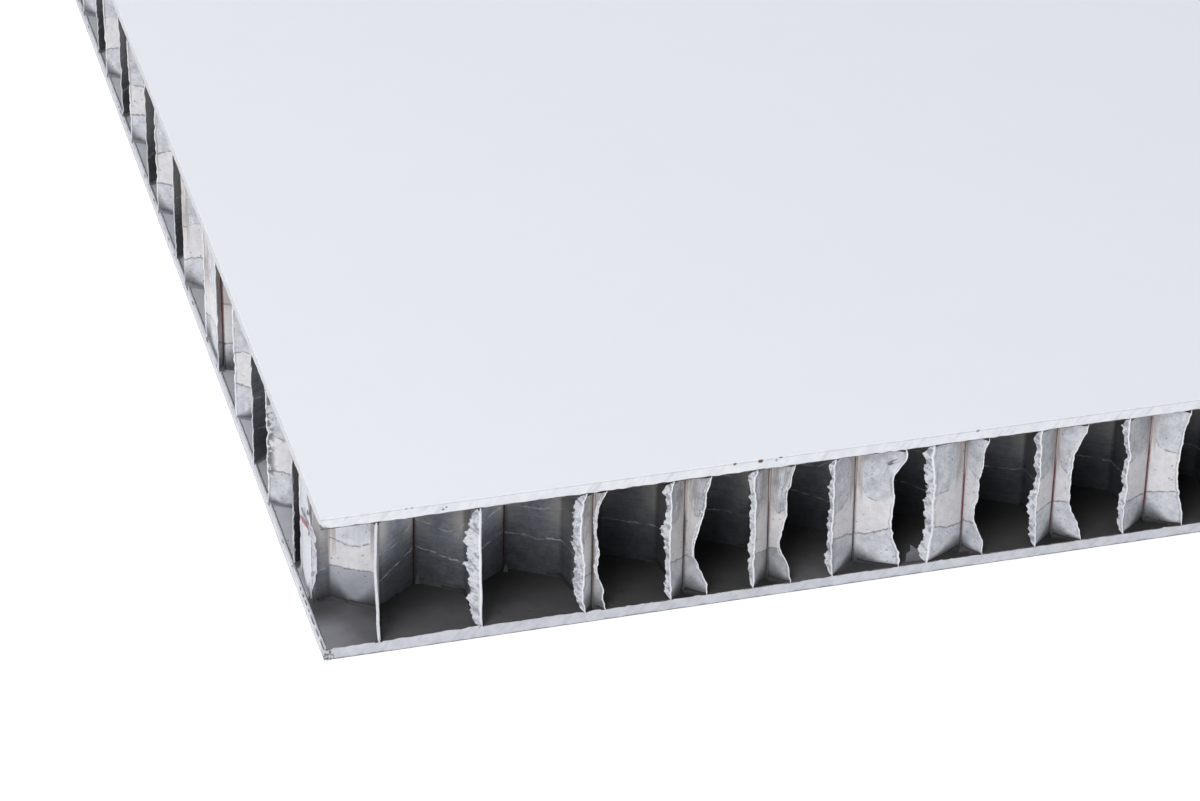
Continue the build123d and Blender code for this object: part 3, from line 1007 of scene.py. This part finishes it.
def film_material():
    """Cured adhesive film: dull warm grey with specks and lighter near the left cut, darkened by painted
    shade deeper in.
    """
    s = Shader("cured_film")
    blotch = s.noise(1.6, detail=4)
    color = s.mix(blotch, (0.07, 0.069, 0.071), (0.125, 0.122, 0.127))
    corner_grey = s.mix(blotch, (0.14, 0.14, 0.155), (0.24, 0.24, 0.265))
    # Painted shade: the corner's film darkens deeper into the corner cell
    corner_grey = s.shade(corner_grey, s.along("Y", 2.8, 6.0, 1.0, 0.27))
    edge_grey = s.mix(s.noise(0.2), (0.42, 0.43, 0.46), (0.56, 0.57, 0.61))
    corner_grey = s.paint(corner_grey, edge_grey, s.zone(X=(1.5, 0.7), Y=(7.8, 8.6)))
    left_grey = s.mix(blotch, (0.34, 0.345, 0.375), (0.47, 0.475, 0.51))
    left_grey = s.mix(s.along("Y", 12, 14), corner_grey, left_grey)
    color = s.paint(color, left_grey, s.ramp(s.attribute("from_left"), 5.0, 0.5))
    color = s.paint(color, (0.02, 0.018, 0.018), s.specks(0.9, 0.13, 0.3), 0.7)
    # Painted shade deeper in from the cuts
    color = s.shade(color, s.ramp(s.attribute("depth"), 1.5, 7.0, 1.0, 0.5))
    # Painted light and shade: the film darkens to the right, is lighter from about column 9 on, and darker
    # from column 13 on
    for low, high, factor in ((9, 32, 0.55), (38, 45, 2.2), (57, 63, 0.5)):
        color = s.shade(color, s.along("X", low, high, 1.0, factor))
    # Painted shade on the floor of the pockets between the parted front foils
    color = s.dim(color, 0.25, s.attribute("pocket"))
    # Painted shade on the fillets, where the film slopes up the foil
    color = s.shade(color, s.ramp(s.normal()["Z"], 0.97, 0.8, 1.0, 0.45))
    nicks = s.mix(s.ramp(s.noise(0.5), 0.4, 0.55), (0.05, 0.048, 0.05), (0.19, 0.175, 0.17))
    color = s.paint(color, nicks, s.attribute("sawn"))
    s.bump(s.noise(0.6, detail=3), 0.3, 0.08)
    return s.finish(color, 0.62, specular=0.35)


def bead_material():
    """Node adhesive: brown to red, and lost in the dark near the foot."""
    s = Shader("node_adhesive")
    height = s.attribute("height")
    color = s.mix(s.ramp(s.noise(2.5, detail=3), 0.35, 0.65), (0.13, 0.085, 0.075), (0.20, 0.15, 0.135))
    red = s.mix(s.noise(1.5), (0.16, 0.035, 0.04), (0.26, 0.09, 0.09))
    color = s.paint(color, red, s.attribute("redness"))
    color = s.paint(color, (0.125, 0.122, 0.128), s.ramp(height, 3.6, 2.2))
    # Painted shade deeper in from the cuts
    color = s.shade(color, s.ramp(s.attribute("depth"), 2.3, 5.0, 1.0, 0.6))
    color = s.paint(color, (0.50, 0.45, 0.43), s.attribute("front"), s.ramp(height, 8.8, 10.4), 0.9)
    color = s.paint(color, (0.24, 0.016, 0.05), s.attribute("fresh"))
    s.bump(s.noise(0.4), 0.3, 0.04)
    return s.finish(color, 0.45)


def sheet_material(name, face_color, face_grey, has_coating):
    """A face sheet: its skin on the flat faces and bare sawn metal on the cut ones."""
    s = Shader(name)
    if has_coating:
        pale, dull, scratch_depth = (0.84, 0.85, 0.885), (0.775, 0.785, 0.825), 0.45
        left_shade, skin_roughness = 0.68, 0.34
    else:
        pale, dull, scratch_depth = (0.65, 0.66, 0.71), (0.57, 0.58, 0.625), 0.6
        left_shade, skin_roughness = 0.95, 0.4
    fine = s.noise(6.0)
    skin = s.mix(fine, face_grey, face_color)
    skin = s.paint(skin, (0.25, 0.24, 0.24), s.specks(9.0, 0.012, 0.35), 0.35)
    height = s.place["Z"]
    walked = s.vector(X=s.math("ADD", s.place["X"], s.place["Y"]), Z=height)
    fine_cuts = s.noise(0.15, roughness=0.6, vector=walked, stretch=(42, 14.0))
    broad_cuts = s.noise(0.5, vector=walked, stretch=(42, 6.0))
    broad_cuts = s.product(s.ramp(broad_cuts, 0.52, 0.68), 0.6)
    scratches = s.math("MAXIMUM", s.ramp(fine_cuts, 0.6, 0.72), broad_cuts)
    sawn = s.mix(s.ramp(s.noise(0.9, detail=3), 0.35, 0.65), dull, pale)
    sawn = s.paint(sawn, (0.42, 0.43, 0.47), scratches, scratch_depth)
    sawn = s.paint(sawn, (0.12, 0.09, 0.07), s.specks(2.6, 0.022, 0.2), 0.6)
    if has_coating:
        # The coating's lower limit shows as a thin line just under the top edge
        below = s.math("SUBTRACT", PANEL_TOP * METRES_PER_MM, height)
        line = s.stripe(s.math("SUBTRACT", below, 0.00012), 0.00007, 0.00002)
        sawn = s.paint(sawn, (0.40, 0.42, 0.48), line, 0.42)
        for (x, z), radius, strength in EDGE_SPECKS:
            at = tuple((np.array([x, 0, z]) - ORIGIN) * METRES_PER_MM)
            radius = radius * METRES_PER_MM
            gap = s.node("VectorMath", {0: s.coordinates, 1: at}, operation="DISTANCE").outputs["Value"]
            gap = s.math("ADD", gap, s.product(s.math("SUBTRACT", s.noise(0.15), 0.5), radius))
            sawn = s.paint(sawn, (0.10, 0.055, 0.035), s.ramp(gap, radius, radius * 0.6), strength)
    else:
        line = s.ramp(s.math("ADD", height, s.product(s.noise(0.9), 0.00024)), 0.00030, 0.00020)
        sawn = s.paint(sawn, (0.12, 0.13, 0.16), line, 0.75)
    dents = s.mix(s.ramp(s.noise(0.25, detail=3), 0.42, 0.52), (0.03, 0.03, 0.035), (0.55, 0.56, 0.60))
    sawn = s.paint(sawn, dents, s.attribute("mangled"))
    # Painted shadow in the gaps behind the folded lip, and on some crumbs at the corner
    sawn = s.paint(sawn, (0.05, 0.055, 0.07), s.attribute("groove"))
    normal = s.normal("True Normal")
    # Painted shade on the cut faces that face left
    sawn = s.shade(sawn, s.ramp(normal["X"], -0.8, -0.3, left_shade, 1.0))
    flat = s.ramp(s.math("ABSOLUTE", normal["Z"]), 0.75, 0.9)
    s.bump(s.mix(flat, scratches, fine), 0.25, 0.03)
    return s.finish(s.mix(flat, sawn, skin), s.ramp(flat, 0.0, 1.0, 0.5, skin_roughness), specular=0.4)


def perimeter():
    """Points round the panel's outline, one step apart, or four at the right and back cuts."""
    corners = [(0, 0), (PANEL_WIDTH, 0), (PANEL_WIDTH, PANEL_LENGTH), (0, PANEL_LENGTH)]
    sides = []
    for start, end, coarse in zip(corners, corners[1:] + corners[:1], (1, 4, 4, 1)):
        count = round(math.dist(start, end) / (SHEET_STEP * coarse))
        sides.append(np.linspace(start, end, count, endpoint=False))
    return np.concatenate(sides)


OUTLINE = perimeter()
WALKED = distance_along(OUTLINE)


def add_slab(mesh, rows, values):
    """A plate whose rim is a band of rows round the outline. Each row is (inset, height)."""
    middle = ORIGIN[:2]
    rings = []
    for number, (inset, height) in enumerate(rows):
        inset = np.broadcast_to(inset, len(OUTLINE))
        ring = middle + (OUTLINE - middle) * (1 - inset / middle.min())[:, None]
        ring = np.column_stack([ring, np.broadcast_to(height, len(OUTLINE))])
        rings.append(mesh.add(ring, **values(ring, number)))
    mesh.loft(rings)


def face_sheet(name, node, slot, low, high, lips, material, seed, corner_damage=0.0, corner_chip=0.0):
    """One face sheet with the lips and nicks that the saw left. lips is their side, 1 or -1."""
    mesh = Mesh()
    x, y = OUTLINE.T
    from_corner = np.hypot(x, y)
    lip = np.clip(0.02 + 0.13 * jagged(WALKED, 0.8, seed + 1) + 0.03 * wander(WALKED, 4.0, seed + 2), 0, 1)
    if lips > 0:
        burr = 0.06 + 0.2 * jagged(WALKED, 0.9, seed + 6) + 0.08 * jagged(WALKED, 0.4, seed + 7)
        lip = lip + (y == 0) * hump(x - 14, 10) * burr
    near = np.exp(-from_corner / 0.7) * corner_damage
    rough = 0.012 * (1 + wander(WALKED, 0.7, seed)) + near * jagged(WALKED, 0.4, seed + 3)
    # The saw folded a second, broken lip inwards along the left cut of the lower sheet
    folded = (x == 0) * float(lips > 0)
    ridge = folded * (0.2 + 0.15 * jagged(WALKED, 0.8, seed + 4))
    gaps = jagged(WALKED, 0.7, seed + 5) + 0.35 * np.exp(-y / 5.0) - 0.5
    gaps = folded * np.clip(gaps * 6, 0.15, 1)
    chip = corner_chip * hump(from_corner, 0.6)
    lip_top = high + (lip * (1 - folded) if lips > 0 else 0)
    lip_foot = low - (0 if lips > 0 else lip * (1 - chip.clip(0, 1)))
    # Inset, height and share of painted shadow in the lip's gaps, from the middle of the underside round the
    # rim to the top
    rows = [
        (1.0, low, 0),
        (0.16 + rough + chip, low, 0),
        (0.05 + rough + chip, lip_foot, 0),
        (rough + chip * 0.85, lip_foot + 0.03 + near * 0.4, 0),
        (rough * 0.4 + chip * 0.5, low + (high - low) * 0.3, 0),
        (rough + chip * 0.15, low + (high - low) * 0.62, 0),
        (rough * 0.5, lip_top - 0.03, 0),
        (0.04 + rough, lip_top - 0.03 * folded, 0),
        (0.07 + rough, lip_top - 0.16 * gaps, gaps),
        (0.10 + 0.02 * folded + rough, high - 0.16 * gaps, gaps),
        (0.12 + 0.02 * folded + rough, high + ridge, 0),
        (0.16 + 0.12 * folded + rough, high + ridge * 0.8, 0),
        (0.20 + 0.14 * folded + rough, high, 0),
        (1.0, high, 0),
    ]

    def values(ring, number):
        mangled = 1.6 * hump(np.hypot(ring[:, 0], ring[:, 1]), 0.8) * min(corner_damage * 4, 1)
        return {"mangled": mangled.clip(0, 1), "groove": np.broadcast_to(rows[number][2], len(ring))}

    add_slab(mesh, [row[:2] for row in rows], values)
    if corner_damage:
        rng = np.random.default_rng(seed + 9)
        for _ in range(CRUMBS_AT_CORNER):
            at = np.array([rng.uniform(0, 0.95), 0.0, rng.uniform(0, 0.62)])
            outline = at + rng.uniform(-0.2, 0.2, (5, 3)) * (1.3, 0.0, 0.7)
            outline[:, 1] = rng.uniform(0.0, 0.12, 5)
            outline[:, 2] = outline[:, 2].clip(low, high)
            mesh.leaf(outline, 0.02, 0.03, mangled=rng.uniform(0.2, 1), groove=rng.uniform(0, 1) > 0.6)
    return mesh.make(name, material, slot, node, smooth_below=30)


def node_bonds(material):
    """The glue between the foils of every node, with the bead squeezed out at each of its ends."""
    mesh = Mesh()
    for column in RIBBONS:
        for number, (start, end) in enumerate(nodes_of(column)):
            redness = float(column >= 13 or (column % 2 == 0 and column > 0) or start.y > 20)
            looks = {"fresh": 0, "redness": redness}
            add_bond_strip(mesh, column, start, end, looks)
            is_torn = column == 0 and start.y < 8
            for point, way in ((start, -1), (end, 1)):
                centre = point + (end - start).normalized() * way * 0.1
                if not is_torn and depth_of(*centre) >= 0:
                    is_front = start.y < FRONT_ROW_DEPTH and way < 0
                    lean_at = (column, start.y) if is_front else None
                    add_bead(mesh, centre, lean_at, 31 * column + 7 * number + 500 + way, looks)
    for outline in RED_SLIVERS:
        mesh.leaf(outline, 0.05, height=8, depth=0, fresh=1, redness=1, front=0)
    for outline in FOOT_RUNS:
        mesh.leaf(outline, 0.05, height=2, depth=0, fresh=0, redness=0, front=0)
    return mesh.make("node_bond_beads", material, "node_adhesive", "node_bonds")


def add_bead(mesh, centre, lean_at, seed, looks):
    """One upright bead of glue. In the front row it thickens to the top and leans with its node."""
    depth = depth_of(*centre)
    in_sight = depth < WITHIN_SIGHT
    heights = BOND_HEIGHTS if in_sight else np.array([CORE_BOTTOM, CORE_TOP])
    radius = 0.026 + 0.006 * wander(heights, 2.0, seed)
    lean = np.zeros_like(heights)
    if lean_at:
        column, node_y = lean_at
        lean = front_lean(column, node_y, heights)
        radius = radius + 0.03 * np.clip((heights - 8.8) / 1.6, 0, 1)
    turn = np.linspace(0, 2 * math.pi, 6 if in_sight else 3, endpoint=False)
    rings = []
    for x, z, r in zip(centre.x + lean, heights, radius):
        ring = np.column_stack([x + r * np.cos(turn), centre.y + r * np.sin(turn), np.full(len(turn), z)])
        rings.append(mesh.add(ring, height=z, depth=depth, front=float(bool(lean_at)), **looks))
    mesh.loft(rings)


def add_bond_strip(mesh, column, start, end, looks):
    """The flat stripe of glue between two foils, cut where the saw cut it."""
    along = (end - start).normalized()
    inside = [t for t in np.linspace(0, (end - start).length, 56) if depth_of(*(start + along * t)) >= 0]
    if len(inside) < 2:
        return
    across = Vector((along.y, -along.x)) * NODE_BOND_THICKNESS / 2
    is_front = start.y < FRONT_ROW_DEPTH
    looks = {**looks, "height": BOND_HEIGHTS, "front": float(is_front)}
    sides = ([], [])
    for t in np.linspace(inside[0], inside[-1], BOND_STATIONS):
        point = start + along * t
        shift = front_lean(column, point.y, BOND_HEIGHTS) if is_front else 0
        if column in (1, 3) and start.y < 1:
            edge = edge_x(LEFT_FOIL_EDGES, column, BOND_HEIGHTS)
            shift = (edge - start.x) * math.exp(-max(point.y, 0) / 1.6)
        for side, columns in zip((1, -1), sides):
            x, y = point + across * side
            wall = np.column_stack(np.broadcast_arrays(x + shift, y, BOND_HEIGHTS))
            columns.append(mesh.add(wall, depth=depth_of(*point), **looks))
    mesh.shell(*sides, [BOND_HEIGHTS] * BOND_STATIONS)


def add_fillets(mesh, run, base_height, up):
    """The hollow rims of glue that climb both sides of the foil near the cuts."""
    half = run.length / 2
    ends = [(0.05, min(FILLET_SIGHT, half)), (max(run.length - FILLET_SIGHT, half), run.length - 0.05)]
    for first, last in ends:
        if last - first < 0.4:
            continue
        stations = np.linspace(first, last, max(int((last - first) / FILLET_STEP), 2))
        base = np.full_like(stations, base_height)
        foot = run.at(stations, base)
        across = run.normal(stations, base + up * 0.05)
        across[:, 2] = 0
        skin = FOIL_THICKNESS / 2
        reach = 0.16 + 0.2 * hump(run.bend_distance(stations), 0.6)
        reach = reach + 0.05 * wander(stations, 1.1, run.seed + 30)
        # The fillet's section: distance from the foil's middle and share of its rise
        section = [
            (0.0, 1.0), (skin + 0.02, 1.0), (skin + reach * 0.2, 0.5), (skin + reach * 0.5, 0.18),
            (skin + reach, 0.02), (skin + reach, -0.05), (0.0, -0.05),
        ]
        for side in (1, -1):
            rows = []
            for away, climb in section:
                row = foot + across * np.broadcast_to(away * side, len(stations))[:, None]
                row[:, 2] = base_height + up * reach * 1.5 * climb
                rows.append(row)
            rings = np.clip(np.stack(rows, 1), 0, PANEL_CORNER)
            x, y = rings[..., 0], rings[..., 1]
            depth = np.maximum(depth_of(x, y), 0.5) + 2
            indices = mesh.add(rings, depth=depth, from_left=x, pocket=in_pocket(x, y), sawn=0)
            mesh.loft(np.reshape(indices, rings.shape[:2]).tolist(), side * up)


def in_pocket(x, y):
    """1 on the floor in front of a front node, where its two foils part, and 0 elsewhere."""
    inside = np.zeros_like(x)
    for column, edges in RIGHT_FOIL_EDGES.items():
        start, _ = node_ends(column, 0)
        share = 1 - y / start.y
        left, right = (start.x + (edge[-1] - start.x) * share for edge in (LEFT_FOIL_EDGES[column], edges))
        inside = np.maximum(inside, (share > 0) & (x > left) & (x < right))
    return inside


def adhesive_film(name, node, low, high, base_height, up, runs, material, seed):
    """The film on one face sheet with the rims where it wetted the foil."""
    mesh = Mesh()
    ragged = 0.02 + 0.06 * jagged(WALKED, 0.6, seed) + 0.34 * (OUTLINE[:, 0] == 0) * (up > 0)
    insets = (0.6, 1.1, 1.6, 2.3, 4.0, 9.0) if up > 0 else (0.6, 4.0, 9.0)
    rows = [(0.5, low), (ragged, low), (ragged, high), (ragged + 0.05, high)]
    rows += [(inset, high) for inset in insets]

    def values(ring, number):
        x, y, _ = ring.T
        sawn = float(1 <= number <= 2)
        return {"depth": depth_of(x, y), "from_left": x, "pocket": in_pocket(x, y), "sawn": sawn}

    add_slab(mesh, rows, values)
    for run in runs:
        add_fillets(mesh, run, base_height, up)
    return mesh.make(name, material, "adhesive_film", node)


def foil_ribbons(material):
    """Every ribbon with its torn scraps, and the runs of foil that the films' fillets climb."""
    runs = []
    for ribbon in RIBBONS:
        mesh = Mesh()
        for run in runs_of(ribbon):
            add_run(mesh, run)
            runs.append(run)
        for torn_ribbon, pale, outline in FOIL_SCRAPS:
            if torn_ribbon == ribbon:
                # The scraps' painted light: pale ones get the lit colour, the others the painted shade of
                # the cells
                looks = {"lit": pale, "facing": 1, "low_edge": 3, "top_edge": 3, "foot": 2, "bend": 3}
                looks |= {"crest": 0.7, "channel": 0, "from_end": 1, "flap": 0.5 * (pale == 1)}
                mesh.leaf(outline, 0.1, **looks)
        node = ribbon_name(ribbon)
        mesh.make(node + "_torn", material, "foil", node)
    return runs


def build_panel():
    runs = foil_ribbons(foil_material())
    film = film_material()
    node_bonds(bead_material())
    adhesive_film(
        "bottom_film_cured", "bottom_adhesive_film", LOWER_SHEET_TOP, CORE_BOTTOM,
        base_height=CORE_BOTTOM, up=1, runs=runs, material=film, seed=71,
    )
    adhesive_film(
        "top_film_cured", "top_adhesive_film", CORE_TOP, TOP_SHEET_UNDERSIDE,
        base_height=CORE_TOP, up=-1, runs=runs, material=film, seed=72,
    )
    coated = sheet_material("coated_sheet_skin", (0.83, 0.845, 0.89), (0.815, 0.83, 0.875), True)
    bare = sheet_material("bare_sheet_skin", (0.70, 0.71, 0.73), (0.58, 0.59, 0.61), False)
    face_sheet(
        "top_sheet_sawn", "top_face_sheet", "coated_sheet", TOP_SHEET_UNDERSIDE, PANEL_TOP,
        lips=-1, material=coated, seed=81, corner_chip=0.25,
    )
    face_sheet(
        "bottom_sheet_sawn", "bottom_face_sheet", "bare_sheet", 0.0, LOWER_SHEET_TOP,
        lips=1, material=bare, seed=82, corner_damage=0.3,
    )


# Where the photo was taken from, and the long lens that it was taken with
PHOTO_WIDTH_IN_PIXELS = 1200
FOCAL_LENGTH_IN_PIXELS = 3615
SENSOR_WIDTH = 36.0
CAMERA_AZIMUTH = math.radians(16.86)
CAMERA_ELEVATION = math.radians(31.71)
CAMERA_ROLL = math.radians(1.57)
CAMERA_PLACE = (-0.1275, -0.3304, 0.1883)
# Lights: name, place, what it points at, width, watts
LIGHTS = [
    ("key", (-0.6, -0.62, 0.72), (0, -0.05, 0), 0.6, 6.6),
    ("fill", (-0.9, 0.1, 0.5), (0, 0, 0), 0.6, 2.2),
]
FLOOR_HALF_WIDTH = 3.0
FLOOR_DROP = 0.00005


def place_camera():
    """The photo's viewpoint, solved from the long edges of the corner."""
    forward = Vector((
        math.sin(CAMERA_AZIMUTH) * math.cos(CAMERA_ELEVATION),
        math.cos(CAMERA_AZIMUTH) * math.cos(CAMERA_ELEVATION),
        -math.sin(CAMERA_ELEVATION),
    ))
    level = forward.cross(Vector((0, 0, 1))).normalized()
    above = level.cross(forward)
    right = level * math.cos(CAMERA_ROLL) + above * math.sin(CAMERA_ROLL)
    up = above * math.cos(CAMERA_ROLL) - level * math.sin(CAMERA_ROLL)
    data = bpy.data.cameras.new("photo_camera")
    data.sensor_width = SENSOR_WIDTH
    data.lens = FOCAL_LENGTH_IN_PIXELS / PHOTO_WIDTH_IN_PIXELS * SENSOR_WIDTH
    data.clip_start = 0.01
    data.clip_end = 20
    camera = bpy.data.objects.new("photo_camera", data)
    turn = Matrix((right, up, -forward)).transposed().to_4x4()
    camera.matrix_world = Matrix.Translation(CAMERA_PLACE) @ turn
    bpy.context.scene.collection.objects.link(camera)
    bpy.context.scene.camera = camera


def light_the_studio():
    for name, place, target, width, watts in LIGHTS:
        data = bpy.data.lights.new(name, "AREA")
        data.shape = "DISK"
        data.size = width
        data.energy = watts
        light = bpy.data.objects.new(name, data)
        light.location = place
        light.rotation_euler = (Vector(target) - Vector(place)).to_track_quat("-Z", "Y").to_euler()
        bpy.context.scene.collection.objects.link(light)

    # A pale, faintly blue sky lights the piece, and plain white is seen behind it
    world = bpy.data.worlds.new("studio")
    bpy.context.scene.world = world
    sky = Nodes(world)
    background = sky.tree.nodes["Background"]
    sky.put((0.93, 0.96, 1.0), background.inputs["Color"])
    sky.put(0.5, background.inputs["Strength"])
    white = sky.node("Background", {"Color": (1, 1, 1), "Strength": 1.0})
    chosen = sky.node("MixShader", {"Fac": sky.seen(), 1: background.outputs[0], 2: white.outputs[0]})
    sky.put(chosen.outputs[0], sky.tree.nodes["World Output"].inputs["Surface"])


def lay_floor():
    """A white floor that glows a little where it is seen, to blend into the background."""
    half = FLOOR_HALF_WIDTH
    corners = [(-half, -half, 0), (half, -half, 0), (half, half, 0), (-half, half, 0)]
    mesh = bpy.data.meshes.new("floor")
    mesh.from_pydata(corners, [], [(0, 1, 2, 3)])
    s = Shader("white_floor")
    mesh.materials.append(s.finish((0.9, 0.9, 0.9), 0.9))
    glow = s.node("Emission", {"Strength": s.product(s.seen(), 0.4)})
    both = s.node("AddShader", {0: s.shader.outputs[0], 1: glow.outputs[0]})
    s.put(both.outputs[0], s.tree.nodes["Material Output"].inputs["Surface"])
    floor = bpy.data.objects.new("floor", mesh)
    floor.location.z = -FLOOR_DROP
    bpy.context.scene.collection.objects.link(floor)


place_camera()
build_panel()
light_the_studio()
lay_floor()
bpy.context.scene.view_settings.view_transform = "Standard"
